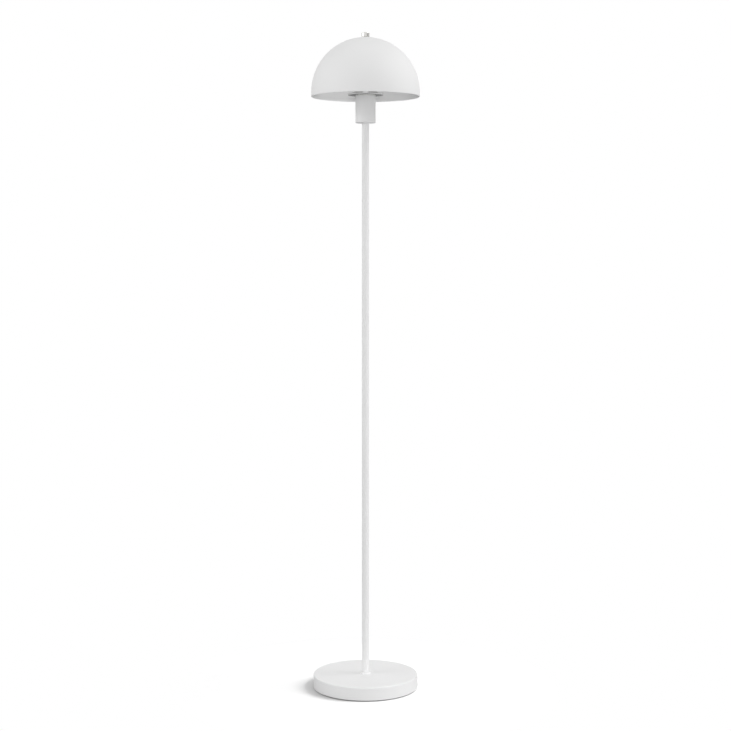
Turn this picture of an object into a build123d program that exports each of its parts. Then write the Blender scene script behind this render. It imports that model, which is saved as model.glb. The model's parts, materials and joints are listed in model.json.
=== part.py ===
from build123d import *
import math
import os

# A floor lamp: a domed metal shade carried on a harp over a lamp holder, on a slim pole with a weighted foot.
# Lengths are in millimetres and angles in degrees. +Z is up, and the origin is on the floor under the pole.

# Foot
base_radius = 112.5
cover_height = 27.8
cover_floor_gap = 2.0
cover_wall = 1.2
cover_edge_round = 2.5
foot_ring_height = 2.5
foot_ring_width = 14.0
foot_ring_inset = 5.0
plate_thickness = 1.5
plate_side_gap = 0.4
weight_side_gap = 6.0
weight_room_below = 4.3
weight_edge_bevel = 2.0
hub_thickness = 7.0
hub_recess_radius = 16.0
collar_width = 4.65
collar_height = 3.2
collar_bevel = 0.8

# Screws that hold the plate under the weight
plate_screw_count = 3
plate_screw_inset = 22.0
plate_screw_radius = 2.0
plate_screw_length = 12.0
plate_screw_head_radius = 3.75
plate_screw_head_height = 1.6
screw_boss_wall = 4.0

# Cord inlet at the back of the foot
inlet_bore_radius = 3.5
grommet_wall = 1.2
grommet_lip = 1.3
grommet_flange = 1.5
grommet_gap = 0.1
inlet_clearance = 0.5

# Threaded tubes, nuts and washers along the pole's axis
nipple_radius = 5.0
nipple_wall = 1.5
nipple_overhang = 1.5
thread_gap = 0.1
nut_across_flats = 14.0
nut_height = 5.0
flat_washer_width = 5.5
flat_washer_thickness = 1.2
lock_washer_width = 3.8
lock_washer_thickness = 1.6
lock_washer_slit = 1.2

# Pole
pole_length = 1181.7
pole_section_names = ("lower_tube", "middle_tube", "upper_tube")
tube_wall = 1.0
press_gap = 0.05
bush_wall = 1.35
bush_length = 18.0
nipple_grip = 16.0

# Cup and lamp holder
cup_wall = 1.0
cup_round = 1.0
cup_gap = 0.35
cup_rim_gap = 2.4
cup_washer_thickness = 1.0
holder_lift = 1.0
holder_radius = 19.5
holder_wall = 2.0
holder_thread_rise = 0.4
holder_flange_rise = 1.3
holder_flange_height = 1.5
neck_wall = 3.4
neck_height = 6.0
shoulder_height = 5.0
cavity_floor_height = 10.5
ledge_height = 15.5
ledge_width = 3.5
grub_radius = 1.5
spigot_length = 6.0
spigot_wall = 1.9
holder_fit = 0.1
block_gap = 0.2
block_flange_height = 6.0
block_body_height = 11.0
contact_thickness = 0.5
contact_width = 6.0
contact_offset = 11.25
contact_bend = 0.6
contact_rise = 4.7
contact_tip_half = 3.0
contact_foot_inner = 6.5
contact_end_lift = 0.5
terminal_radius = 1.5
terminal_height = 3.2
terminal_depth = 6.5
terminal_head_radius = 2.6
terminal_head_height = 1.8
pocket_margin = 0.8
screw_shell_wall = 0.4
screw_shell_flange = 1.3
screw_shell_flange_height = 0.6
screw_shell_margin = 10.0
shade_ring_height = 9.0
shade_ring_margin = 3.4
shade_ring_flange = 8.0
shade_ring_flange_height = 3.0
shade_ring_grip = 4.5
shade_ring_notches = 16
shade_ring_notch_radius = 1.2

# Bulb
bulb_cap_radius = 13.15
bulb_cap_length = 27.0
bulb_socket_gap = 0.35
bulb_seat_gap = 0.3
bulb_tip_radius = 4.5
bulb_tip_height = 2.0
bulb_insulator_radius = 10.0
bulb_insulator_height = 3.0
bulb_cap_bevel = 3.0
bulb_body_radius = 13.4
bulb_neck_length = 2.0
bulb_body_length = 23.0
bulb_globe_radius = 22.5
bulb_globe_wall = 1.2
bulb_globe_drop = 5.5

# Harp that carries the shade
harp_thickness = 2.0
harp_width = 12.0
harp_height = 111.6
harp_half_span = 50.0
harp_foot_bend = 8.0
harp_crown_bend = 39.0
harp_plate_width = 16.7
harp_plate_gap = 0.4
harp_angle = 90.0

# Shade, its stud and the finial
stud_radius = 3.0
stud_hole_gap = 0.3
stud_below_nut = 1.2
stud_in_finial = 7.6
stud_nut_across_flats = 10.0
stud_nut_height = 5.0
seat_radius = 12.0
seat_thickness = 2.0
shade_radius = 114.5
shade_wall = 1.0
shade_skirt = 9.4
shade_hem_height = 6.0
shade_flat_radius = 12.5
shade_hole_gap = 0.5
finial_washer_radius = 9.3
finial_washer_thickness = 1.0
finial_radius = 8.7
finial_height = 9.8
finial_edge_round = 2.0
finial_foot_bevel = 0.8
finial_bore_end_gap = 0.4

# Heights along the foot
plate_top = foot_ring_height + plate_thickness
base_top = cover_floor_gap + cover_height
weight_top = base_top - cover_wall
weight_bottom = plate_top + weight_room_below
hub_recess_top = weight_top - hub_thickness
flat_washer_bottom = hub_recess_top - flat_washer_thickness
lock_washer_bottom = flat_washer_bottom - lock_washer_thickness
base_nut_bottom = lock_washer_bottom - nut_height

# Radii in the foot
cover_inner_radius = base_radius - cover_wall
plate_radius = cover_inner_radius - plate_side_gap
weight_radius = cover_inner_radius - weight_side_gap
foot_ring_outer = plate_radius - foot_ring_inset
foot_ring_inner = foot_ring_outer - foot_ring_width
plate_screw_circle = foot_ring_inner - plate_screw_inset
plate_screw_hole = plate_screw_radius + thread_gap

# The inlet's sizes and height
grommet_neck_radius = inlet_bore_radius + grommet_wall
grommet_flange_radius = grommet_neck_radius + grommet_lip
inlet_height = plate_top + grommet_flange_radius + inlet_clearance
channel_top = inlet_height + grommet_flange_radius + inlet_clearance
channel_width = 2 * (grommet_flange_radius + inlet_clearance)

# Radii and heights along the pole
thread_hole = nipple_radius + thread_gap
bush_radius = thread_hole + bush_wall
tube_bore = bush_radius + press_gap
pole_radius = tube_bore + tube_wall
pole_top = base_top + pole_length
section_length = pole_length / len(pole_section_names)

# Heights up the lamp holder
cup_floor = pole_top + cup_wall
cup_nut_bottom = cup_floor + cup_washer_thickness
holder_bottom = cup_nut_bottom + nut_height + holder_lift
block_bottom = holder_bottom + ledge_height
block_flange_top = block_bottom + block_flange_height
block_top = block_flange_top + block_body_height
holder_base_rim = block_flange_top + spigot_length
contact_top = block_top + contact_rise
bulb_bottom = contact_top + bulb_seat_gap
holder_top = bulb_bottom + bulb_cap_length
shade_ring_bottom = holder_top - shade_ring_margin - shade_ring_height
harp_seat = shade_ring_bottom - harp_thickness
cup_top = harp_seat - cup_rim_gap

# Radii in the lamp holder
holder_thread_radius = holder_radius + holder_thread_rise
cup_inner_radius = holder_thread_radius + cup_gap
cup_radius = cup_inner_radius + cup_wall
holder_base_bore = holder_radius - holder_wall
spigot_radius = holder_base_bore - holder_fit
spigot_bore = spigot_radius - spigot_wall
block_flange_radius = holder_base_bore - block_gap
block_body_radius = spigot_bore - block_gap
screw_shell_bore = bulb_cap_radius + bulb_socket_gap
screw_shell_radius = screw_shell_bore + screw_shell_wall
neck_radius = thread_hole + neck_wall
grub_height = holder_bottom + neck_height / 2
terminal_axis_height = block_bottom + terminal_height

# Heights from the harp to the top of the finial
harp_top = harp_seat + harp_height
seat_bottom = harp_top + stud_nut_height
seat_top = seat_bottom + seat_thickness
shade_top = seat_top + shade_wall
finial_bottom = shade_top + finial_washer_thickness
stud_top = finial_bottom + stud_in_finial
stud_nut_bottom = harp_top - harp_thickness - stud_nut_height
stud_hole = stud_radius + stud_hole_gap
dome_rise = math.sqrt(shade_radius**2 - shade_flat_radius**2)
dome_centre = shade_top - dome_rise
shade_rim = dome_centre - shade_skirt


def outline(points, rounds=()):
    """A closed face from corner points, with chosen corners rounded."""
    face = make_face(Polyline(*points, close=True))
    for corner, radius in rounds:
        vertex = face.vertices().sort_by_distance((*corner, 0))[0]
        face = fillet(vertex, radius)
    return face


def spin(face):
    """A solid turned about the lamp's axis from a face drawn as radius and height."""
    return revolve(Plane.XZ * face, Axis.Z)


def turned(points, rounds=()):
    """A turned solid from (radius, height) corner points."""
    return spin(outline(points, rounds))


def ring(outer_radius, inner_radius, bottom, top):
    """A plain ring or tube on the lamp's axis."""
    return turned([(inner_radius, bottom), (outer_radius, bottom), (outer_radius, top), (inner_radius, top)])


def upright(radius, bottom, top, x=0, y=0):
    """An upright round bar, for pins and holes."""
    return Pos(x, y, bottom) * Cylinder(radius, top - bottom, align=(Align.CENTER, Align.CENTER, Align.MIN))


def bar_along_x(radius, start, end, height):
    """A round bar along X at a height on the lamp's axis, for screws and their holes."""
    lying = Cylinder(radius, end - start, rotation=(0, 90, 0))
    return Pos((start + end) / 2, 0, height) * lying


def block_between(x0, x1, y0, y1, z0, z1):
    """A box between two corners, for pockets and slots."""
    return Pos((x0 + x1) / 2, (y0 + y1) / 2, (z0 + z1) / 2) * Box(x1 - x0, y1 - y0, z1 - z0)


def bent_strip(path, thickness, width):
    """A flat strip bent along a path drawn as radius and height, centred on the drawing plane."""
    return extrude(Plane.XZ * trace(path, thickness), width / 2, both=True)


def hex_nut(across_flats, hole_radius, bottom, height):
    """A hexagon nut standing on the lamp's axis."""
    blank = extrude(RegularPolygon(across_flats / 2, 6, major_radius=False), height)
    return Pos(0, 0, bottom) * blank - upright(hole_radius, bottom, bottom + height)


def plate_screw_places():
    """The plate screws' centres, spread so that none lies in line with the cord inlet."""
    step = 360 / plate_screw_count
    angles = [math.radians(90 + (index + 0.5) * step) for index in range(plate_screw_count)]
    return [(plate_screw_circle * math.cos(angle), plate_screw_circle * math.sin(angle)) for angle in angles]


def make_base_cover():
    """The spun cover of the foot, open below, with the pole's hole and the cord's hole."""
    inner_round = max(cover_edge_round - cover_wall, cover_wall / 2)
    corners = [
        (thread_hole, base_top),
        (base_radius, base_top),
        (base_radius, cover_floor_gap),
        (cover_inner_radius, cover_floor_gap),
        (cover_inner_radius, weight_top),
        (thread_hole, weight_top),
    ]
    rounds = [
        ((base_radius, base_top), cover_edge_round),
        ((cover_inner_radius, weight_top), inner_round),
    ]
    hole = Cylinder(grommet_neck_radius + grommet_gap, base_radius, rotation=(90, 0, 0))
    return turned(corners, rounds) - Pos(0, base_radius, inlet_height) * hole


def make_base_weight():
    """The cast disc inside the cover: nut recess, cord channel and three bosses down to the plate."""
    corners = [
        (thread_hole, weight_bottom),
        (weight_radius - weight_edge_bevel, weight_bottom),
        (weight_radius, weight_bottom + weight_edge_bevel),
        (weight_radius, weight_top - weight_edge_bevel),
        (weight_radius - weight_edge_bevel, weight_top),
        (thread_hole, weight_top),
    ]
    disc = turned(corners)
    disc -= upright(hub_recess_radius, weight_bottom, hub_recess_top)
    half_channel = channel_width / 2
    disc -= block_between(-half_channel, half_channel, 0, weight_radius, weight_bottom, channel_top)
    for x, y in plate_screw_places():
        disc += upright(plate_screw_hole + screw_boss_wall, plate_top, weight_bottom, x, y)
        disc -= upright(plate_screw_hole, plate_top, foot_ring_height + plate_screw_length + thread_gap, x, y)
    return disc


def make_base_plate():
    """The closing plate under the weight."""
    plate = upright(plate_radius, foot_ring_height, plate_top)
    for x, y in plate_screw_places():
        plate -= upright(plate_screw_hole, foot_ring_height, plate_top, x, y)
    return plate


def make_plate_screws():
    """The screws up through the plate into the weight's bosses."""
    head_bottom = foot_ring_height - plate_screw_head_height
    screws = []
    for x, y in plate_screw_places():
        head = upright(plate_screw_head_radius, head_bottom, foot_ring_height, x, y)
        shank = upright(plate_screw_radius, foot_ring_height, foot_ring_height + plate_screw_length, x, y)
        screws.append(head + shank)
    return Compound(children=screws)


def make_cord_grommet():
    """The rubber grommet in the cover's back wall, with a flange on each side of the wall."""
    wall_inside = math.sqrt(cover_inner_radius**2 - grommet_flange_radius**2) - grommet_gap
    corners = [
        (inlet_bore_radius, wall_inside - grommet_flange),
        (grommet_flange_radius, wall_inside - grommet_flange),
        (grommet_flange_radius, wall_inside),
        (grommet_neck_radius, wall_inside),
        (grommet_neck_radius, base_radius),
        (grommet_flange_radius, base_radius),
        (grommet_flange_radius, base_radius + grommet_flange),
        (inlet_bore_radius, base_radius + grommet_flange),
    ]
    lip_round = grommet_flange / 2
    outer_lip = (grommet_flange_radius, base_radius + grommet_flange)
    grommet = revolve(outline(corners, [(outer_lip, lip_round)]), Axis.Y)
    return Pos(0, 0, inlet_height) * grommet


def make_pole_collar():
    """The low collar round the pole where it meets the cover."""
    inner = pole_radius + thread_gap
    outer = inner + collar_width
    top = base_top + collar_height
    corners = [
        (inner, base_top),
        (outer, base_top),
        (outer, top - collar_bevel),
        (outer - collar_bevel, top),
        (inner, top),
    ]
    return turned(corners)


def make_nipple(bottom, top):
    """A hollow threaded tube that lets the cord through."""
    return ring(nipple_radius, nipple_radius - nipple_wall, bottom, top)


def make_lock_washer():
    """The split spring washer under the foot's nut."""
    outer = thread_hole + lock_washer_width
    whole = ring(outer, thread_hole, lock_washer_bottom, flat_washer_bottom)
    half_slit = lock_washer_slit / 2
    return whole - block_between(0, outer, -half_slit, half_slit, lock_washer_bottom, flat_washer_bottom)


def section_bottoms():
    """The height of each pole section's lower end."""
    return [base_top + index * section_length for index in range(len(pole_section_names))]


def make_tube_bushes():
    """The threaded bushes pressed into both ends of each pole section."""
    bushes = []
    for bottom in section_bottoms():
        top = bottom + section_length
        bushes.append(ring(bush_radius, thread_hole, bottom, bottom + bush_length))
        bushes.append(ring(bush_radius, thread_hole, top - bush_length, top))
    return Compound(children=bushes)


def make_joint_nipples():
    """The threaded tubes that draw the pole sections together."""
    return Compound(children=[make_nipple(z - nipple_grip, z + nipple_grip) for z in section_bottoms()[1:]])


def make_holder_cup():
    """The plain cup round the lamp holder, with a rounded lower edge."""
    corners = [
        (thread_hole, pole_top),
        (cup_radius, pole_top),
        (cup_radius, cup_top),
        (cup_inner_radius, cup_top),
        (cup_inner_radius, cup_floor),
        (thread_hole, cup_floor),
    ]
    inner_round = max(cup_round - cup_wall, cup_wall / 2)
    rounds = [
        ((cup_radius, pole_top), cup_round),
        ((cup_inner_radius, cup_floor), inner_round),
    ]
    return turned(corners, rounds)


def make_holder_base():
    """The holder's lower half: a threaded neck, a sloping shoulder and a ledge for the terminal block."""
    shoulder_bottom = holder_bottom + neck_height
    shoulder_top = shoulder_bottom + shoulder_height
    cavity_floor = holder_bottom + cavity_floor_height
    ledge_bore = holder_base_bore - ledge_width
    corners = [
        (thread_hole, holder_bottom),
        (neck_radius, holder_bottom),
        (neck_radius, shoulder_bottom),
        (holder_radius, shoulder_top),
        (holder_radius, holder_base_rim),
        (holder_base_bore, holder_base_rim),
        (holder_base_bore, block_bottom),
        (ledge_bore, block_bottom),
        (ledge_bore, cavity_floor),
        (thread_hole, cavity_floor),
    ]
    rounds = [((holder_radius, shoulder_top), shoulder_height / 2)]
    return turned(corners, rounds) - bar_along_x(grub_radius + thread_gap, 0, neck_radius, grub_height)


def make_grub_screw():
    """The headless screw in the neck that stops the holder turning on its thread."""
    return bar_along_x(grub_radius, nipple_radius, neck_radius, grub_height)


def terminal_screw(side):
    """One terminal screw, head outward, on the side given by the sign."""
    strip_face = contact_offset + contact_thickness / 2
    shank = bar_along_x(terminal_radius, strip_face - terminal_depth, strip_face, terminal_axis_height)
    head_end = strip_face + terminal_head_height
    head = bar_along_x(terminal_head_radius, strip_face, head_end, terminal_axis_height)
    return Rot(0, 0, 0 if side > 0 else 180) * (shank + head)


def terminal_room(side):
    """What is cut from the block for one contact strip, its screw and the wire's way in."""
    half_slot = contact_width / 2 + thread_gap
    half_strip = contact_thickness / 2 + contact_bend
    half_pocket = terminal_head_radius + pocket_margin
    slot_inner = contact_offset - half_strip
    slot = block_between(
        slot_inner, contact_offset + half_strip, -half_slot, half_slot, block_bottom, block_top
    )
    pocket = block_between(
        contact_offset, block_flange_radius, -half_pocket, half_pocket, block_bottom, block_flange_top
    )
    hole_end = slot_inner - terminal_depth
    screw_hole = bar_along_x(terminal_radius + thread_gap, hole_end, contact_offset, terminal_axis_height)
    return Rot(0, 0, 0 if side > 0 else 180) * (slot + pocket + screw_hole)


def make_terminal_block():
    """The insulating block: a flange clamped on the ledge and a narrower top with the contacts' slots."""
    corners = [
        (0, block_bottom),
        (block_flange_radius, block_bottom),
        (block_flange_radius, block_flange_top),
        (block_body_radius, block_flange_top),
        (block_body_radius, block_top),
        (0, block_top),
    ]
    half_foot = contact_width / 2 + thread_gap
    foot_recess = block_between(
        contact_offset, block_body_radius, -half_foot, half_foot, block_top - contact_thickness, block_top
    )
    return turned(corners) - terminal_room(1) - terminal_room(-1) - foot_recess


def contact_strip(points):
    """A contact strip along corner points, with the hole for its terminal screw."""
    strip = bent_strip(FilletPolyline(*points, radius=contact_bend), contact_thickness, contact_width)
    reach = contact_offset + contact_thickness
    return strip - bar_along_x(terminal_radius + thread_gap, -reach, reach, terminal_axis_height)


def make_side_contact():
    """The strip that ends flush in the block's top, under the screw shell's flange."""
    foot_height = block_top - contact_thickness / 2
    corners = [
        (contact_offset, block_bottom + contact_end_lift),
        (contact_offset, foot_height),
        (screw_shell_radius + screw_shell_flange, foot_height),
    ]
    return contact_strip(corners)


def make_centre_contact():
    """The sprung tongue that meets the bulb's tip on the axis."""
    foot_height = block_top + contact_thickness / 2
    tongue_height = contact_top - contact_thickness / 2
    corners = [
        (-contact_offset, block_bottom + contact_end_lift),
        (-contact_offset, foot_height),
        (-contact_foot_inner, foot_height),
        (-contact_tip_half, tongue_height),
        (contact_tip_half, tongue_height),
    ]
    return contact_strip(corners)


def make_screw_shell():
    """The thin shell that takes the bulb's cap, standing on the block by its flange."""
    flange_top = block_top + screw_shell_flange_height
    top = holder_top - screw_shell_margin
    corners = [
        (screw_shell_bore, block_top),
        (screw_shell_radius + screw_shell_flange, block_top),
        (screw_shell_radius + screw_shell_flange, flange_top),
        (screw_shell_radius, flange_top),
        (screw_shell_radius, top),
        (screw_shell_bore, top),
    ]
    return turned(corners)


def make_holder_shell():
    """The holder's upper half: a spigot down onto the block's flange, a flange for the harp and a thread."""
    bore = screw_shell_radius + block_gap
    bore_bottom = block_top + screw_shell_flange_height + block_gap
    flange_radius = holder_thread_radius + holder_flange_rise
    flange_bottom = harp_seat - holder_flange_height
    corners = [
        (spigot_bore, block_flange_top),
        (spigot_radius, block_flange_top),
        (spigot_radius, holder_base_rim),
        (holder_radius, holder_base_rim),
        (holder_radius, flange_bottom),
        (flange_radius, flange_bottom),
        (flange_radius, harp_seat),
        (holder_thread_radius, harp_seat),
        (holder_thread_radius, holder_top),
        (bore, holder_top),
        (bore, bore_bottom),
        (spigot_bore, bore_bottom),
    ]
    return turned(corners)


def make_shade_ring():
    """The ring nut on the holder's thread that clamps the harp on the flange, with grip notches."""
    bore = holder_thread_radius + thread_gap
    flange_top = shade_ring_bottom + shade_ring_flange_height
    top = shade_ring_bottom + shade_ring_height
    grip_radius = bore + shade_ring_grip
    corners = [
        (bore, shade_ring_bottom),
        (bore + shade_ring_flange, shade_ring_bottom),
        (bore + shade_ring_flange, flange_top),
        (grip_radius, flange_top),
        (grip_radius, top),
        (bore, top),
    ]
    notch = upright(shade_ring_notch_radius, flange_top, top)
    notches = [place * notch for place in PolarLocations(grip_radius, shade_ring_notches)]
    return turned(corners) - notches


def make_harp():
    """The bent strip that carries the shade: a round plate on the holder, two arms and a flat crown."""
    foot_line = harp_seat + harp_thickness / 2
    crown_line = harp_top - harp_thickness / 2
    plate_hole = holder_thread_radius + harp_plate_gap
    plate_middle = plate_hole + harp_plate_width / 2
    path = FilletPolyline(
        (plate_middle, foot_line),
        (harp_half_span, foot_line),
        (harp_half_span, crown_line),
        (-harp_half_span, crown_line),
        (-harp_half_span, foot_line),
        (-plate_middle, foot_line),
        radius=[harp_foot_bend, harp_crown_bend, harp_crown_bend, harp_foot_bend],
    )
    strip = bent_strip(path, harp_thickness, harp_width)
    strip += ring(plate_hole + harp_plate_width, plate_hole, harp_seat, harp_seat + harp_thickness)
    strip -= upright(stud_radius + thread_gap, harp_top - harp_thickness, harp_top)
    return Rot(0, 0, harp_angle) * strip


def make_stud_nuts():
    """The two nuts that hold the stud in the harp's crown."""
    hole = stud_radius + thread_gap
    heights = (stud_nut_bottom, harp_top)
    return Compound(children=[hex_nut(stud_nut_across_flats, hole, z, stud_nut_height) for z in heights])


def make_shade():
    """The spun shade: a small flat top with a hole, a half sphere, a short skirt and a hemmed rim."""
    inner_radius = shade_radius - shade_wall
    hem_inner = inner_radius - shade_wall
    hole = stud_radius + shade_hole_gap
    hem_top = shade_rim + shade_hem_height
    inner_top = shade_top - shade_wall
    inner_flat = math.sqrt(inner_radius**2 - (dome_rise - shade_wall) ** 2)
    outer_sweep = math.degrees(math.acos(shade_flat_radius / shade_radius))
    inner_sweep = math.degrees(math.acos(inner_flat / inner_radius))
    hem_line = shade_rim + shade_wall
    edges = [
        CenterArc((0, dome_centre), shade_radius, 0, outer_sweep),
        Polyline(
            (shade_flat_radius, shade_top), (hole, shade_top), (hole, inner_top), (inner_flat, inner_top)
        ),
        CenterArc((0, dome_centre), inner_radius, 0, inner_sweep),
        Polyline(
            (inner_radius, dome_centre), (inner_radius, hem_top), (hem_inner, hem_top), (hem_inner, hem_line)
        ),
        CenterArc((inner_radius, hem_line), shade_wall, 180, 180),
        Line((shade_radius, hem_line), (shade_radius, dome_centre)),
    ]
    return spin(make_face(edges))


def make_finial():
    """The turned knob with a blind threaded hole, which clamps the shade on its seat."""
    top = finial_bottom + finial_height
    bore = stud_radius + thread_gap
    bore_top = stud_top + finial_bore_end_gap
    corners = [
        (bore, finial_bottom),
        (finial_radius - finial_foot_bevel, finial_bottom),
        (finial_radius, finial_bottom + finial_foot_bevel),
        (finial_radius, top),
        (0, top),
        (0, bore_top),
        (bore, bore_top),
    ]
    return turned(corners, [((finial_radius, top), finial_edge_round)])


def bulb_heights():
    """The heights of the bulb's tip, insulator, cap and body tops."""
    tip_top = bulb_bottom + bulb_tip_height
    insulator_top = tip_top + bulb_insulator_height
    cap_top = bulb_bottom + bulb_cap_length
    body_top = cap_top + bulb_body_length
    return tip_top, insulator_top, cap_top, body_top


def make_bulb_insulator():
    """The insulating cone between the bulb's tip and cap."""
    tip_top, insulator_top, _, _ = bulb_heights()
    corners = [
        (0, tip_top),
        (bulb_tip_radius, tip_top),
        (bulb_insulator_radius, insulator_top),
        (0, insulator_top),
    ]
    return turned(corners)


def make_bulb_cap():
    """The bulb's metal screw cap."""
    _, insulator_top, cap_top, _ = bulb_heights()
    corners = [
        (0, insulator_top),
        (bulb_insulator_radius, insulator_top),
        (bulb_cap_radius, insulator_top + bulb_cap_bevel),
        (bulb_cap_radius, cap_top),
        (0, cap_top),
    ]
    return turned(corners)


def globe_edge_radius():
    """The globe's radius where it meets the bulb's body."""
    return math.sqrt(bulb_globe_radius**2 - bulb_globe_drop**2)


def make_bulb_body():
    """The bulb's body, flaring in a smooth curve from the cap to the globe."""
    _, _, cap_top, body_top = bulb_heights()
    neck_top = cap_top + bulb_neck_length
    edge = globe_edge_radius()
    flare = Spline(
        (bulb_body_radius, neck_top), (edge, body_top), tangents=[(0, 1), (bulb_globe_drop, edge)]
    )
    edges = [
        Polyline((0, body_top), (0, cap_top), (bulb_body_radius, cap_top), (bulb_body_radius, neck_top)),
        flare,
        Line((edge, body_top), (0, body_top)),
    ]
    return spin(make_face(edges))


def make_bulb_globe():
    """The bulb's globe: a thin spherical bowl closed by the body."""
    _, _, _, body_top = bulb_heights()
    centre = body_top + bulb_globe_drop
    inner_radius = bulb_globe_radius - bulb_globe_wall
    outer = Pos(0, 0, centre) * Sphere(bulb_globe_radius)
    inner = Pos(0, 0, centre) * Sphere(inner_radius)
    below = upright(bulb_globe_radius, centre - bulb_globe_radius, body_top)
    return outer - inner - below


def make_parts():
    """Every piece of the lamp, by name."""
    collar_washer = thread_hole + flat_washer_width
    parts = {
        "base_cover": make_base_cover(),
        "base_weight": make_base_weight(),
        "base_plate": make_base_plate(),
        "foot_ring": ring(foot_ring_outer, foot_ring_inner, 0, foot_ring_height),
        "plate_screws": make_plate_screws(),
        "cord_grommet": make_cord_grommet(),
        "pole_collar": make_pole_collar(),
        "bottom_nipple": make_nipple(base_nut_bottom - nipple_overhang, base_top + nipple_grip),
        "flat_washer": ring(collar_washer, thread_hole, flat_washer_bottom, hub_recess_top),
        "lock_washer": make_lock_washer(),
        "base_nut": hex_nut(nut_across_flats, thread_hole, base_nut_bottom, nut_height),
    }
    for name, bottom in zip(pole_section_names, section_bottoms()):
        parts[name] = ring(pole_radius, tube_bore, bottom, bottom + section_length)
    parts |= {
        "tube_bushes": make_tube_bushes(),
        "joint_nipples": make_joint_nipples(),
        "top_nipple": make_nipple(pole_top - nipple_grip, holder_bottom + cavity_floor_height),
        "holder_cup": make_holder_cup(),
        "cup_washer": ring(collar_washer, thread_hole, cup_floor, cup_nut_bottom),
        "cup_nut": hex_nut(nut_across_flats, thread_hole, cup_nut_bottom, nut_height),
        "holder_base": make_holder_base(),
        "grub_screw": make_grub_screw(),
        "terminal_block": make_terminal_block(),
        "terminal_screws": Compound(children=[terminal_screw(1), terminal_screw(-1)]),
        "side_contact": make_side_contact(),
        "centre_contact": make_centre_contact(),
        "screw_shell": make_screw_shell(),
        "holder_shell": make_holder_shell(),
        "shade_ring": make_shade_ring(),
        "harp": make_harp(),
        "shade_stud": upright(stud_radius, stud_nut_bottom - stud_below_nut, stud_top),
        "stud_nuts": make_stud_nuts(),
        "seat_washer": ring(seat_radius, stud_radius + thread_gap, seat_bottom, seat_top),
        "shade": make_shade(),
        "finial_washer": ring(finial_washer_radius, stud_hole, shade_top, finial_bottom),
        "finial": make_finial(),
        "bulb_tip": upright(bulb_tip_radius, bulb_bottom, bulb_heights()[0]),
        "bulb_insulator": make_bulb_insulator(),
        "bulb_cap": make_bulb_cap(),
        "bulb_body": make_bulb_body(),
        "bulb_globe": make_bulb_globe(),
    }
    return parts


os.makedirs("parts", exist_ok=True)
for part_name, part_solid in make_parts().items():
    export_step(part_solid, f"parts/{part_name}.step")
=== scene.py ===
import json
import math

import bmesh
import bpy
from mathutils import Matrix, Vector


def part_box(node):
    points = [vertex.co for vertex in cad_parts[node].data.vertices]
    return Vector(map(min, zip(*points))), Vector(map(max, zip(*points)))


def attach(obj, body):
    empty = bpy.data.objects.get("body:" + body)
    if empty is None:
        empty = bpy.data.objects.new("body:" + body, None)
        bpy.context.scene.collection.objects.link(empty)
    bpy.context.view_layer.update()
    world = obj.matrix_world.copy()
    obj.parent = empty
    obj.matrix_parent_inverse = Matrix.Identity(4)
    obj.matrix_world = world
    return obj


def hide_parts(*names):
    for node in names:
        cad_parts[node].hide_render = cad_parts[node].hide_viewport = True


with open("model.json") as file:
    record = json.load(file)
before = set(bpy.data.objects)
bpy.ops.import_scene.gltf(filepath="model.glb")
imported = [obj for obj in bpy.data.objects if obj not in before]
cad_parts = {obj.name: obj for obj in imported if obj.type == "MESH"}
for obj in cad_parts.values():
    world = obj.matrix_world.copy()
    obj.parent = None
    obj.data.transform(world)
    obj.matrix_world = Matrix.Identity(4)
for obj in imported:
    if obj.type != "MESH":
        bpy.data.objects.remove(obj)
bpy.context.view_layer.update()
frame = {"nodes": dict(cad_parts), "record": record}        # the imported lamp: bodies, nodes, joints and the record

# Lengths are in metres and angles in radians
MM = 0.001
FULL_TURN = 2 * math.pi
QUARTER_TURN = FULL_TURN / 4

# Camera, fitted to the photograph: a square frame, looking along +Y and a little down
IMAGE_PIXELS = 731
FOCAL_PIXELS = 1540.7
SENSOR_MM = 36.0
CAMERA_PLACE = (0.0, -3.2803, 0.9444)
CAMERA_PITCH = math.radians(4.29)

# Smooth shading stops at edges sharper than this
SHARP_EDGE = math.radians(32)

# Points nearer than this are one point
WELD = 0.001 * MM

# Tones: each finish runs between a dark and a light colour
WHITE_TONES = ((0.80, 0.80, 0.80), (0.83, 0.83, 0.83))
# painted light: the brighter white inside the shade
INSIDE_LIGHT_TONES = ((0.90, 0.90, 0.90), (0.93, 0.93, 0.93))
# painted shade: the dark grey under the harp's round plate
PAINTED_SHADE_TONES = ((0.26, 0.26, 0.26), (0.32, 0.32, 0.32))
ZINC_TONES = ((0.50, 0.51, 0.52), (0.66, 0.67, 0.68))
IRON_TONES = ((0.025, 0.025, 0.027), (0.06, 0.06, 0.062))
DARK_RUBBER_TONES = ((0.02, 0.02, 0.02), (0.04, 0.04, 0.04))
PALE_RUBBER_TONES = ((0.60, 0.60, 0.59), (0.68, 0.68, 0.66))
HOLDER_TONES = ((0.74, 0.74, 0.72), (0.79, 0.79, 0.77))
NYLON_TONES = ((0.76, 0.76, 0.73), (0.82, 0.82, 0.79))
INSULATOR_TONES = ((0.008, 0.008, 0.008), (0.02, 0.02, 0.02))
BULB_PLASTIC_TONES = ((0.80, 0.80, 0.78), (0.84, 0.84, 0.82))
BRASS_TONES = ((0.55, 0.38, 0.14), (0.66, 0.48, 0.20))
FINIAL_TONES = ((0.64, 0.63, 0.61), (0.70, 0.69, 0.67))
CAP_TONES = ((0.62, 0.61, 0.58), (0.72, 0.71, 0.68))
OPAL_TONES = ((0.86, 0.85, 0.81), (0.90, 0.89, 0.86))

# Painted shade under the harp's round plate: a dark grey on faces of the harp that look down this steeply, this near
# the axis
PAINTED_SHADE_SLOPE = -0.95
PAINTED_SHADE_RADIUS = 37.5 * MM

# Opal glass: how far light goes in it
OPAL_REACH = 4.0 * MM

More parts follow.
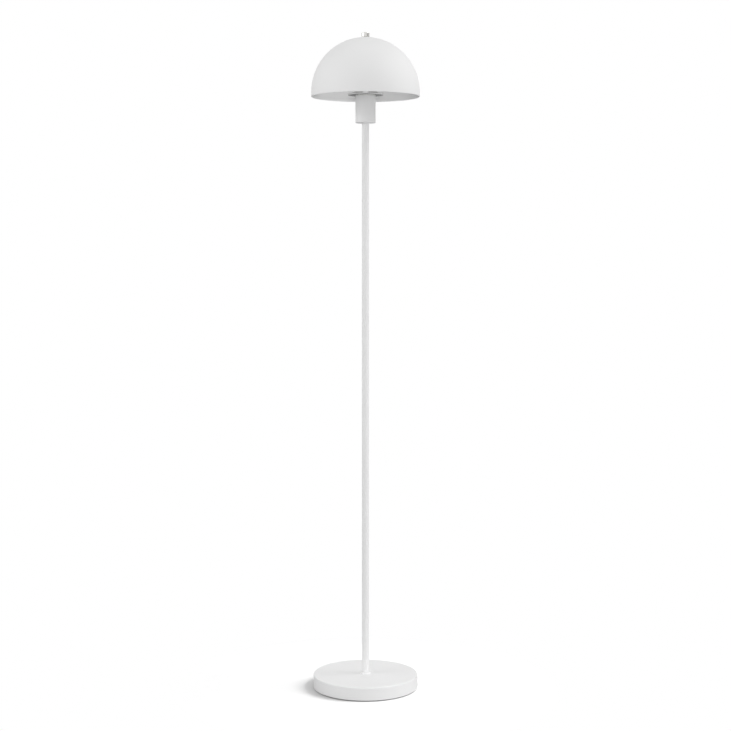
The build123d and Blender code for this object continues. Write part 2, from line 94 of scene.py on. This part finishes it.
# Shade: a spun shell with a small flat top, a hole and a hemmed rim
SHADE_WALL = 1.0 * MM
SHADE_FLAT_RADIUS = 12.5 * MM
SHADE_HOLE = 3.5 * MM
SHADE_HEM_HEIGHT = 6.0 * MM
# where the painted light inside the shade begins, this deep in the wall
INSIDE_LIGHT_DEPTH = 0.8 * SHADE_WALL
SHADE_STEPS = 360
SHADE_DOME_POINTS = 61
SHADE_HEM_POINTS = 13

# Bulb cap: a rolled round thread between a bevelled foot and a plain rim
CAP_FOOT_RADIUS = 10.0 * MM
CAP_FOOT_HEIGHT = 3.0 * MM
CAP_RIM_HEIGHT = 2.5 * MM
CAP_PITCH = 3.629 * MM
CAP_DEPTH = 0.95 * MM
CAP_STEPS = 72
CAP_PROFILE_POINTS = 12

# Stud: a metric thread with bevelled ends
STUD_PITCH = 1.0 * MM
STUD_DEPTH = 0.55 * MM
STUD_STEPS = 36
STUD_PROFILE = ((0.0, 1.0), (0.25, 1.0), (0.5625, 0.0), (0.6875, 0.0))

# Stud nuts: hexagons bevelled at 30 degrees
NUT_HEIGHT = 5.0 * MM
NUT_HOLE = 3.1 * MM
NUT_HOLE_BEVEL = 0.4 * MM
NUT_FACE_SHARE = 0.95
NUT_BEVEL = math.radians(30)
NUT_STEPS = 72

# Plate screws: pan heads with a cross recess
SCREW_ANGLES = [math.radians(angle) for angle in (150, 270, 30)]
SCREW_HEAD_RADIUS = 3.75 * MM
SCREW_HEAD_HEIGHT = 1.6 * MM
SCREW_HEAD_ROUND = 0.85 * MM
SCREW_SHANK_RADIUS = 2.0 * MM
SCREW_TIP_BEVEL = 0.5 * MM
RECESS_REACH = 1.9 * MM
RECESS_HALF_WIDTH = 0.48 * MM
RECESS_DEPTH = 1.05 * MM
RECESS_TAPER = 0.55
SCREW_STEPS = 96
ROUND_LOOPS = 5

# Floor: it fades to white away from the foot, and throws less light back there
FLOOR_HALF_SIZE = 3.0
FLOOR_DROP = 0.2 * MM
FLOOR_GREY = 0.66
FADE_SPAN = (0.25, 0.42)
BOUNCE_SPAN = (0.15, 0.50)
BOUNCE_GREYS = (0.30, 0.16)

# Card: it stands on the right, off the picture, for the polished metal to mirror
CARD_NEAR = (0.75, -0.95)
CARD_FAR = (1.2, 0.15)
CARD_BOTTOM = 1.25
CARD_TOP = 1.95
CARD_GREY = 0.56

# Surround: white to look at, with a lower light on the object
WHITE = (1, 1, 1, 1)
AMBIENT = 0.63


def add_material(name):
    """A new node material and its principled shader."""
    material = bpy.data.materials.new(name)
    material.use_nodes = True
    return material, material.node_tree.nodes["Principled BSDF"]


def add_bare_material(name):
    """A new node material without a shader, and the socket that its surface goes to."""
    material, shader = add_material(name)
    material.node_tree.nodes.remove(shader)
    return material, material.node_tree.nodes["Material Output"].inputs["Surface"]


def add_node(owner, kind, **settings):
    """A node of a material or the world, with the given settings."""
    node = owner.node_tree.nodes.new(kind)
    for key, value in settings.items():
        setattr(node, key, value)
    return node


def join(owner, source, target):
    """A link from one socket to another."""
    owner.node_tree.links.new(source, target)


def object_coordinates(material):
    """The piece's own coordinates, in metres."""
    return add_node(material, "ShaderNodeTexCoord").outputs["Object"]


def object_normal(material):
    """The way a face looks, in the piece's own axes."""
    return add_node(material, "ShaderNodeTexCoord").outputs["Normal"]


def length_of(material, vector):
    """The length of a vector."""
    distance = add_node(material, "ShaderNodeVectorMath", operation="LENGTH")
    join(material, vector, distance.inputs[0])
    return distance.outputs["Value"]


def change_vector(material, operation, vector, other):
    """A vector after an operation with a fixed one."""
    change = add_node(material, "ShaderNodeVectorMath", operation=operation)
    change.inputs[1].default_value = other
    join(material, vector, change.inputs[0])
    return change.outputs["Vector"]


def less_than(material, value, limit):
    """One where the value is under the limit, and nought elsewhere."""
    test = add_node(material, "ShaderNodeMath", operation="LESS_THAN")
    test.inputs[1].default_value = limit
    join(material, value, test.inputs[0])
    return test.outputs[0]


def add_noise(material, scale):
    """A noise texture in the piece's own coordinates; scale is in features a metre."""
    noise = add_node(material, "ShaderNodeTexNoise")
    noise.inputs["Scale"].default_value = scale
    join(material, object_coordinates(material), noise.inputs["Vector"])
    return noise.outputs["Fac"]


def tint(material, factor, tones):
    """A colour that runs between two tones."""
    ramp = add_node(material, "ShaderNodeValToRGB")
    for element, tone in zip(ramp.color_ramp.elements, tones):
        element.color = (*tone, 1)
    join(material, factor, ramp.inputs["Fac"])
    return ramp.outputs["Color"]


def vary_colour(material, shader, factor, tones):
    """The base colour runs between two tones."""
    join(material, tint(material, factor, tones), shader.inputs["Base Color"])


def vary_roughness(material, shader, factor, low, high):
    """The roughness runs between two values."""
    spread = add_node(material, "ShaderNodeMapRange")
    spread.inputs["To Min"].default_value = low
    spread.inputs["To Max"].default_value = high
    join(material, factor, spread.inputs["Value"])
    join(material, spread.outputs["Result"], shader.inputs["Roughness"])


def add_bump(material, shader, height, depth):
    """A bump of a given depth in metres."""
    bump = add_node(material, "ShaderNodeBump")
    bump.inputs["Distance"].default_value = depth
    join(material, height, bump.inputs["Height"])
    join(material, bump.outputs["Normal"], shader.inputs["Normal"])


def colour_by_mask(material, shader, mask, first, second):
    """The base colour is the first colour where the mask is nought and the second where it is one."""
    mix = add_node(material, "ShaderNodeMix", data_type="RGBA")
    colour_inputs = [socket for socket in mix.inputs if socket.type == "RGBA"]
    result = next(socket for socket in mix.outputs if socket.type == "RGBA")
    join(material, mask, mix.inputs["Factor"])
    join(material, first, colour_inputs[0])
    join(material, second, colour_inputs[1])
    join(material, result, shader.inputs["Base Color"])


def lacquer(name):
    """Matt white lacquer with a faint orange peel, and the even noise that tints it."""
    material, shader = add_material(name)
    shader.inputs["Specular IOR Level"].default_value = 0.25
    vary_roughness(material, shader, add_noise(material, scale=60), low=0.62, high=0.70)
    add_bump(material, shader, add_noise(material, scale=420), depth=0.04 * MM)
    return material, shader, add_noise(material, scale=9)


def white_lacquer():
    """Matt white lacquer all over."""
    material, shader, noise = lacquer("white_lacquer")
    vary_colour(material, shader, noise, WHITE_TONES)
    return material


def dome_centre():
    """The height of the middle of the shade's half sphere."""
    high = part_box("shade")[1]
    return high.z - math.sqrt(high.x**2 - SHADE_FLAT_RADIUS**2)


def shade_lacquer():
    """Matt white lacquer outside the shade, and a brighter white inside it that is painted light.

    The wall is told by the distance from the dome's centre, and in the skirt from the axis,
    because a height under the centre counts as nought.
    """
    material, shader, noise = lacquer("shade_lacquer")
    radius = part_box("shade")[1].x
    centre = (0, 0, dome_centre())
    least = (-1, -1, 0)        # well outside the shade in x and y, so only the height is held
    from_centre = change_vector(material, "SUBTRACT", object_coordinates(material), centre)
    never_under = change_vector(material, "MAXIMUM", from_centre, least)
    inside = less_than(material, length_of(material, never_under), radius - INSIDE_LIGHT_DEPTH)
    outer = tint(material, noise, WHITE_TONES)
    # painted light: the inside of the shade is lighter than its outside
    inner = tint(material, noise, INSIDE_LIGHT_TONES)
    colour_by_mask(material, shader, inside, outer, inner)
    return material


def primed_lacquer():
    """Matt white lacquer, with painted shade in dark grey under the harp's round plate."""
    material, shader, noise = lacquer("primed_lacquer")
    parts = add_node(material, "ShaderNodeSeparateXYZ")
    join(material, object_normal(material), parts.inputs[0])
    below = less_than(material, parts.outputs["Z"], PAINTED_SHADE_SLOPE)
    without_height = (1, 1, 0)
    in_plan = change_vector(material, "MULTIPLY", object_coordinates(material), without_height)
    near = less_than(material, length_of(material, in_plan), PAINTED_SHADE_RADIUS)
    # painted shade: dark grey where the faces look down under the plate
    both = add_node(material, "ShaderNodeMath", operation="MULTIPLY")
    join(material, below, both.inputs[0])
    join(material, near, both.inputs[1])
    outer = tint(material, noise, WHITE_TONES)
    painted_shade = tint(material, noise, PAINTED_SHADE_TONES)
    colour_by_mask(material, shader, both.outputs[0], outer, painted_shade)
    return material


def zinc_steel():
    """Zinc-plated steel: grey, a little cloudy and finely drawn."""
    material, shader = add_material("zinc_steel")
    shader.inputs["Metallic"].default_value = 1.0
    vary_colour(material, shader, add_noise(material, scale=160), ZINC_TONES)
    vary_roughness(material, shader, add_noise(material, scale=500), low=0.28, high=0.42)
    add_bump(material, shader, add_noise(material, scale=2500), depth=0.02 * MM)
    return material


def cast_iron():
    """Rough primed cast iron."""
    material, shader = add_material("cast_iron")
    vary_colour(material, shader, add_noise(material, scale=140), IRON_TONES)
    vary_roughness(material, shader, add_noise(material, scale=300), low=0.6, high=0.85)
    add_bump(material, shader, add_noise(material, scale=700), depth=0.3 * MM)
    return material


def rubber(name, tones):
    """Matt rubber with a fine grain."""
    material, shader = add_material(name)
    vary_colour(material, shader, add_noise(material, scale=900), tones)
    vary_roughness(material, shader, add_noise(material, scale=400), low=0.6, high=0.8)
    add_bump(material, shader, add_noise(material, scale=3000), depth=0.05 * MM)
    return material


def plastic(name, tones, low, high):
    """Moulded plastic with a fine spark-eroded grain, between two roughnesses."""
    material, shader = add_material(name)
    vary_colour(material, shader, add_noise(material, scale=40), tones)
    vary_roughness(material, shader, add_noise(material, scale=350), low, high)
    add_bump(material, shader, add_noise(material, scale=2600), depth=0.02 * MM)
    return material


def bright_metal(name, tones, low, high):
    """Bright metal with faint turning marks round the lamp's axis, between two roughnesses."""
    material, shader = add_material(name)
    shader.inputs["Metallic"].default_value = 1.0
    vary_colour(material, shader, add_noise(material, scale=200), tones)
    vary_roughness(material, shader, add_noise(material, scale=600), low, high)
    marks = add_node(material, "ShaderNodeTexWave", bands_direction="Z")
    marks.inputs["Scale"].default_value = 1400
    marks.inputs["Distortion"].default_value = 0.4
    join(material, object_coordinates(material), marks.inputs["Vector"])
    add_bump(material, shader, marks.outputs["Fac"], depth=0.004 * MM)
    return material


def opal_glass():
    """Opal glass: milky, soft inside and smooth outside."""
    material, shader = add_material("opal_glass")
    vary_colour(material, shader, add_noise(material, scale=30), OPAL_TONES)
    vary_roughness(material, shader, add_noise(material, scale=120), low=0.12, high=0.2)
    shader.inputs["Subsurface Weight"].default_value = 0.3
    shader.inputs["Subsurface Radius"].default_value = (OPAL_REACH, OPAL_REACH, OPAL_REACH)
    shader.inputs["Coat Weight"].default_value = 0.4
    return material


def make_materials():
    """One material for each of the record's slots."""
    return {
        "white_lacquer": white_lacquer(),
        # the shade lacquer's brighter inside is painted light
        "shade_lacquer": shade_lacquer(),
        # the primed lacquer's dark underside is painted shade
        "primed_lacquer": primed_lacquer(),
        "cast_iron": cast_iron(),
        "zinc_steel": zinc_steel(),
        "dark_rubber": rubber("dark_rubber", DARK_RUBBER_TONES),
        "pale_rubber": rubber("pale_rubber", PALE_RUBBER_TONES),
        "holder_plastic": plastic("holder_plastic", HOLDER_TONES, low=0.34, high=0.46),
        "contact_brass": bright_metal("contact_brass", BRASS_TONES, low=0.2, high=0.3),
        "nylon": plastic("nylon", NYLON_TONES, low=0.4, high=0.5),
        "polished_nickel": bright_metal("polished_nickel", FINIAL_TONES, low=0.16, high=0.22),
        "black_insulator": plastic("black_insulator", INSULATOR_TONES, low=0.1, high=0.2),
        "bulb_nickel": bright_metal("bulb_nickel", CAP_TONES, low=0.22, high=0.32),
        "bulb_plastic": plastic("bulb_plastic", BULB_PLASTIC_TONES, low=0.28, high=0.36),
        "opal_glass": opal_glass(),
    }


def smooth(piece):
    """Smooth shading that keeps the sharp edges."""
    piece.data.shade_smooth()
    piece.data.set_sharp_from_angle(angle=SHARP_EDGE)


def dress_nodes(materials):
    """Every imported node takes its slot's material."""
    for subpart in frame["record"]["subparts"]:
        node = frame["nodes"][subpart["node"]]
        node.data.materials.clear()
        node.data.materials.append(materials[subpart["material_slot"]])
        smooth(node)


def slot_of(node_name):
    """The material slot that the record gives a node."""
    subparts = frame["record"]["subparts"]
    return next(part["material_slot"] for part in subparts if part["node"] == node_name)


def body_of(node_name):
    """The body that carries a node."""
    bodies = frame["record"]["behaviour"]["bodies"]
    return next(body for body, nodes in bodies.items() if node_name in nodes)


def stand_in(node_name, skins, materials):
    """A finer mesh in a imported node's place, on the same body and with the same finish."""
    mesh = bpy.data.meshes.new(node_name + "_fine")
    points = []
    faces = []
    for skin_points, skin_faces in skins:
        faces += [[index + len(points) for index in face] for face in skin_faces]
        points += skin_points
    mesh.from_pydata(points, [], faces)
    welded = bmesh.new()
    welded.from_mesh(mesh)
    bmesh.ops.remove_doubles(welded, verts=welded.verts, dist=WELD)
    bmesh.ops.recalc_face_normals(welded, faces=welded.faces)
    welded.to_mesh(mesh)
    welded.free()
    piece = bpy.data.objects.new(node_name + "_fine", mesh)
    bpy.context.scene.collection.objects.link(piece)
    mesh.materials.append(materials[slot_of(node_name)])
    smooth(piece)
    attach(piece, body_of(node_name))
    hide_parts(node_name)


def loop(steps, reach, height, x=0.0, y=0.0):
    """A closed loop of points about an upright line; reach and height are functions of the angle."""
    points = []
    for step in range(steps):
        angle = FULL_TURN * step / steps
        radius = reach(angle)
        points.append((x + radius * math.cos(angle), y + radius * math.sin(angle), height(angle)))
    return points


def circle(steps, radius, height, x=0.0, y=0.0):
    """A level round loop."""
    return loop(steps, lambda angle: radius, lambda angle: height, x, y)


def skin(loops, closed):
    """Points and faces that join loops of equal length.

    When closed, the last loop joins the first; otherwise both ends are capped.
    """
    size = len(loops[0])
    points = [point for one_loop in loops for point in one_loop]
    faces = []
    for index in range(len(loops) if closed else len(loops) - 1):
        here = index * size
        there = (index + 1) % len(loops) * size
        for step in range(size):
            after = (step + 1) % size
            faces.append((here + step, here + after, there + after, there + step))
    if not closed:
        faces.append(range(size))
        faces.append(range(len(points) - size, len(points)))
    return points, faces


def arc(x, z, radius, start, end, count):
    """Points of an arc in a section, from one angle to another."""
    angles = [start + (end - start) * index / (count - 1) for index in range(count)]
    return [(x + radius * math.cos(angle), z + radius * math.sin(angle)) for angle in angles]


def make_shade(materials):
    """The spun shade: its section runs up outside, round the hole, down inside and round the hem."""
    low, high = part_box("shade")
    centre = dome_centre()
    outer = high.x
    inner = outer - SHADE_WALL
    inner_top = high.z - SHADE_WALL
    hem_top = low.z + SHADE_HEM_HEIGHT
    hem_line = low.z + SHADE_WALL
    outer_end = math.acos(SHADE_FLAT_RADIUS / outer)
    inner_end = math.asin((inner_top - centre) / inner)
    section = arc(0.0, centre, outer, 0.0, outer_end, SHADE_DOME_POINTS)
    section += [(SHADE_HOLE, high.z), (SHADE_HOLE, inner_top)]
    section += arc(0.0, centre, inner, inner_end, 0.0, SHADE_DOME_POINTS)
    section += [(inner, hem_top), (inner - SHADE_WALL, hem_top)]
    section += arc(inner, hem_line, SHADE_WALL, math.pi, FULL_TURN, SHADE_HEM_POINTS)
    loops = [circle(SHADE_STEPS, radius, height) for radius, height in section]
    stand_in("shade", [skin(loops, closed=True)], materials)


def thread_skin(bottom, top, pitch, profile, steps, radius):
    """A right-hand thread between two heights, closed at both ends.

    The profile holds, along one pitch, pairs of a place and a depth share, both from 0 to 1.
    The function radius gives the radius at a height for a depth share.
    It comes to one radius at each end.
    """
    spare_turns = 2
    turns = math.ceil((top - bottom) / pitch) + spare_turns
    row = len(profile)
    points = []
    for step in range(turns * steps + 1):
        angle = FULL_TURN * step / steps
        start = bottom + pitch * (step / steps - 1)
        for place, share in profile:
            height = min(max(start + place * pitch, bottom), top)
            reach = radius(height, share)
            points.append((reach * math.cos(angle), reach * math.sin(angle), height))
    faces = []
    for step in range((turns - 1) * steps):
        for index in range(row):
            low = step * row + index
            high = low + 1 if index < row - 1 else (step + steps) * row
            faces.append((low, low + row, high + row, high))
    first = [step * row for step in range(steps)]
    last = [((turns - 1) * steps + step) * row for step in range(steps)]
    return points, faces + [first, last]


def ease(value):
    """A smooth rise from 0 to 1 as the value goes from 0 to 1."""
    inside = min(max(value, 0.0), 1.0)
    return inside * inside * (3 - 2 * inside)


def make_bulb_cap(materials):
    """The bulb's cap with its rolled thread, which runs out towards the rim."""
    low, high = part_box("bulb_cap")
    slope = (high.x - CAP_FOOT_RADIUS) / CAP_FOOT_HEIGHT

    def radius(height, share):
        run_out = ease((high.z - CAP_RIM_HEIGHT - height) / CAP_PITCH)
        foot = CAP_FOOT_RADIUS + (height - low.z) * slope
        return min(high.x - CAP_DEPTH * share * run_out, foot)

    places = [index / CAP_PROFILE_POINTS for index in range(CAP_PROFILE_POINTS)]
    profile = [(place, (1 + math.cos(FULL_TURN * place)) / 2) for place in places]
    thread = thread_skin(low.z, high.z, CAP_PITCH, profile, CAP_STEPS, radius)
    stand_in("bulb_cap", [thread], materials)


def make_shade_stud(materials):
    """The stud's thread, with bevelled ends."""
    low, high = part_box("shade_stud")
    core = high.x - STUD_DEPTH

    def radius(height, share):
        end_distance = min(height - low.z, high.z - height)
        return min(high.x - STUD_DEPTH * share, core + end_distance)

    thread = thread_skin(low.z, high.z, STUD_PITCH, STUD_PROFILE, STUD_STEPS, radius)
    stand_in("shade_stud", [thread], materials)


def nut_skin(across_flats, bottom, top):
    """A hexagon nut with bevelled corners and a bevelled hole."""
    half = across_flats / 2
    face_radius = NUT_FACE_SHARE * half
    sixth = FULL_TURN / 6

    def reach(angle):
        return half / math.cos(angle % sixth - sixth / 2)

    def drop(angle):
        return (reach(angle) - face_radius) * math.tan(NUT_BEVEL)

    mouth = NUT_HOLE + NUT_HOLE_BEVEL
    loops = [
        circle(NUT_STEPS, NUT_HOLE, bottom + NUT_HOLE_BEVEL),
        circle(NUT_STEPS, mouth, bottom),
        circle(NUT_STEPS, face_radius, bottom),
        loop(NUT_STEPS, reach, lambda angle: bottom + drop(angle)),
        loop(NUT_STEPS, reach, lambda angle: top - drop(angle)),
        circle(NUT_STEPS, face_radius, top),
        circle(NUT_STEPS, mouth, top),
        circle(NUT_STEPS, NUT_HOLE, top - NUT_HOLE_BEVEL),
    ]
    return skin(loops, closed=True)


def make_stud_nuts(materials):
    """The two nuts on the stud, under and over the harp's crown."""
    low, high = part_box("stud_nuts")
    bottoms = (low.z, high.z - NUT_HEIGHT)
    skins = [nut_skin(high.y - low.y, bottom, bottom + NUT_HEIGHT) for bottom in bottoms]
    stand_in("stud_nuts", skins, materials)


def cross(angle, size):
    """The outline of a cross recess, as a radius at an angle from one of its arms."""
    half_gap = QUARTER_TURN / 2
    off_arm = abs((angle + half_gap) % QUARTER_TURN - half_gap)
    side = math.inf if off_arm == 0 else RECESS_HALF_WIDTH / math.sin(off_arm)
    return size * min(RECESS_REACH / math.cos(off_arm), side)


def cross_loop(size, height, x, y):
    """A level loop in the shape of a cross recess."""
    return loop(SCREW_STEPS, lambda angle: cross(angle, size), lambda angle: height, x, y)


def screw_skin(x, y, bottom, top):
    """A pan-head screw, head down, with a cross recess."""
    head_top = bottom + SCREW_HEAD_HEIGHT
    shank = SCREW_SHANK_RADIUS
    loops = [
        circle(SCREW_STEPS, shank - SCREW_TIP_BEVEL, top, x, y),
        circle(SCREW_STEPS, shank, top - SCREW_TIP_BEVEL, x, y),
        circle(SCREW_STEPS, shank, head_top, x, y),
        circle(SCREW_STEPS, SCREW_HEAD_RADIUS, head_top, x, y),
    ]
    for index in range(ROUND_LOOPS + 1):
        bend = QUARTER_TURN * index / ROUND_LOOPS
        radius = SCREW_HEAD_RADIUS - SCREW_HEAD_ROUND * (1 - math.cos(bend))
        height = bottom + SCREW_HEAD_ROUND * (1 - math.sin(bend))
        loops.append(circle(SCREW_STEPS, radius, height, x, y))
    loops.append(cross_loop(1.0, bottom, x, y))
    loops.append(cross_loop(RECESS_TAPER, bottom + RECESS_DEPTH, x, y))
    return skin(loops, closed=False)


def make_plate_screws(materials):
    """The screws under the foot."""
    low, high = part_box("plate_screws")
    ring = -low.y - SCREW_HEAD_RADIUS
    places = [(ring * math.cos(angle), ring * math.sin(angle)) for angle in SCREW_ANGLES]
    stand_in("plate_screws", [screw_skin(x, y, low.z, high.z) for x, y in places], materials)


def seen_directly(owner):
    """One for camera, glossy and transmission rays, and nought for the rest."""
    path = add_node(owner, "ShaderNodeLightPath")
    first = add_node(owner, "ShaderNodeMath", operation="MAXIMUM")
    second = add_node(owner, "ShaderNodeMath", operation="MAXIMUM")
    join(owner, path.outputs["Is Camera Ray"], first.inputs[0])
    join(owner, path.outputs["Is Glossy Ray"], first.inputs[1])
    join(owner, first.outputs[0], second.inputs[0])
    join(owner, path.outputs["Is Transmission Ray"], second.inputs[1])
    return second.outputs[0]


def mix_shaders(owner, share, first, second):
    """The first shader where the share is nought and the second where it is one."""
    mix = add_node(owner, "ShaderNodeMixShader")
    join(owner, share, mix.inputs["Fac"])
    join(owner, first, mix.inputs[1])
    join(owner, second, mix.inputs[2])
    return mix.outputs[0]


def smooth_change(material, value, span, results):
    """A result that goes smoothly from one to another as the value crosses a span."""
    change = add_node(material, "ShaderNodeMapRange", interpolation_type="SMOOTHSTEP")
    change.inputs["From Min"].default_value = span[0]
    change.inputs["From Max"].default_value = span[1]
    change.inputs["To Min"].default_value = results[0]
    change.inputs["To Max"].default_value = results[1]
    join(material, value, change.inputs["Value"])
    return change.outputs["Result"]


def make_world():
    """A white surround to look at, with a lower even light on the object."""
    world = bpy.data.worlds.new("studio")
    bpy.context.scene.world = world
    world.use_nodes = True
    soft = world.node_tree.nodes["Background"]
    soft.inputs["Color"].default_value = WHITE
    soft.inputs["Strength"].default_value = AMBIENT
    white = add_node(world, "ShaderNodeBackground")
    white.inputs["Color"].default_value = WHITE
    white.inputs["Strength"].default_value = 1.0
    whole = mix_shaders(world, seen_directly(world), soft.outputs[0], white.outputs[0])
    join(world, whole, world.node_tree.nodes["World Output"].inputs["Surface"])


def floor_white():
    """Pale paper that fades to white, and throws less light back, away from the foot."""
    material, surface = add_bare_material("floor_white")
    distance = length_of(material, object_coordinates(material))
    paper = add_node(material, "ShaderNodeBsdfDiffuse")
    paper.inputs["Color"].default_value = (FLOOR_GREY, FLOOR_GREY, FLOOR_GREY, 1)
    white = add_node(material, "ShaderNodeEmission")
    white.inputs["Strength"].default_value = 1.0
    fade = smooth_change(material, distance, FADE_SPAN, (0.0, 1.0))
    shown = mix_shaders(material, fade, paper.outputs[0], white.outputs[0])
    bounce = add_node(material, "ShaderNodeBsdfDiffuse")
    bounce_grey = smooth_change(material, distance, BOUNCE_SPAN, BOUNCE_GREYS)
    join(material, bounce_grey, bounce.inputs["Color"])
    whole = mix_shaders(material, seen_directly(material), bounce.outputs[0], shown)
    join(material, whole, surface)
    return material


def card_grey():
    """An even grey that needs no light."""
    material, surface = add_bare_material("card_grey")
    even = add_node(material, "ShaderNodeEmission")
    even.inputs["Strength"].default_value = CARD_GREY
    join(material, even.outputs[0], surface)
    return material


def add_sheet(name, corners, material):
    """A flat piece of the studio with four corners."""
    mesh = bpy.data.meshes.new(name)
    mesh.from_pydata(corners, [], [(0, 1, 2, 3)])
    mesh.materials.append(material)
    sheet = bpy.data.objects.new(name, mesh)
    bpy.context.scene.collection.objects.link(sheet)
    return sheet


def make_floor():
    """A pale floor that keeps the shadow near the lamp and fades to white around it."""
    signs = ((-1, -1), (1, -1), (1, 1), (-1, 1))
    corners = [(FLOOR_HALF_SIZE * x, FLOOR_HALF_SIZE * y, -FLOOR_DROP) for x, y in signs]
    floor = add_sheet("floor", corners, floor_white())
    return floor


def make_card():
    """A grey card that shows only in polished metal."""
    corners = [
        (*CARD_NEAR, CARD_BOTTOM),
        (*CARD_FAR, CARD_BOTTOM),
        (*CARD_FAR, CARD_TOP),
        (*CARD_NEAR, CARD_TOP),
    ]
    card = add_sheet("card", corners, card_grey())
    card.visible_camera = False
    card.visible_diffuse = False
    card.visible_shadow = False
    card.visible_transmission = False


def make_camera():
    """The photograph's camera."""
    data = bpy.data.cameras.new("camera")
    data.sensor_width = SENSOR_MM
    data.lens = FOCAL_PIXELS * SENSOR_MM / IMAGE_PIXELS
    camera = bpy.data.objects.new("camera", data)
    camera.location = CAMERA_PLACE
    camera.rotation_euler = (QUARTER_TURN - CAMERA_PITCH, 0, 0)
    bpy.context.scene.collection.objects.link(camera)
    bpy.context.scene.camera = camera


def add_soft_box(name, place, aim, size, power):
    """A square soft box that faces a height on the lamp's axis."""
    data = bpy.data.lights.new(name, "AREA")
    data.shape = "SQUARE"
    data.size = size
    data.energy = power
    soft_box = bpy.data.objects.new(name, data)
    soft_box.location = place
    soft_box.rotation_mode = "QUATERNION"
    way = Vector((0, 0, aim)) - Vector(place)
    soft_box.rotation_quaternion = way.to_track_quat("-Z", "Y")
    bpy.context.scene.collection.objects.link(soft_box)
    return soft_box


def make_lights(floor):
    """Seven soft boxes, and one that lights only the floor."""
    add_soft_box("right_near_box", place=(0.9, -0.35, 0.15), aim=0.1, size=0.4, power=1.2)
    add_soft_box("right_low_box", place=(1.9, -0.3, 0.4), aim=0.7, size=0.9, power=7.0)
    add_soft_box("right_high_box", place=(1.4, 0.0, 2.4), aim=0.7, size=0.9, power=8.5)
    add_soft_box("top_box", place=(0.7, -0.2, 2.6), aim=1.0, size=1.2, power=2.4)
    add_soft_box("left_box", place=(-1.8, -0.6, 1.4), aim=0.7, size=1.4, power=11.2)
    add_soft_box("back_near_box", place=(0.0, 0.55, 0.75), aim=0.0, size=0.4, power=0.5)
    add_soft_box("front_low_box", place=(0.0, -2.4, 0.5), aim=0.7, size=0.9, power=14.0)
    floor_box = add_soft_box("floor_box", place=(2.0, 0.0, 2.0), aim=0.0, size=1.6, power=84.0)
    floor_alone = bpy.data.collections.new("floor_alone")
    floor_alone.objects.link(floor)
    floor_box.light_linking.receiver_collection = floor_alone


bpy.context.scene.view_settings.view_transform = "Standard"
finishes = make_materials()
dress_nodes(finishes)
make_shade(finishes)
make_bulb_cap(finishes)
make_shade_stud(finishes)
make_stud_nuts(finishes)
make_plate_screws(finishes)
make_world()
make_lights(make_floor())
make_card()
make_camera()
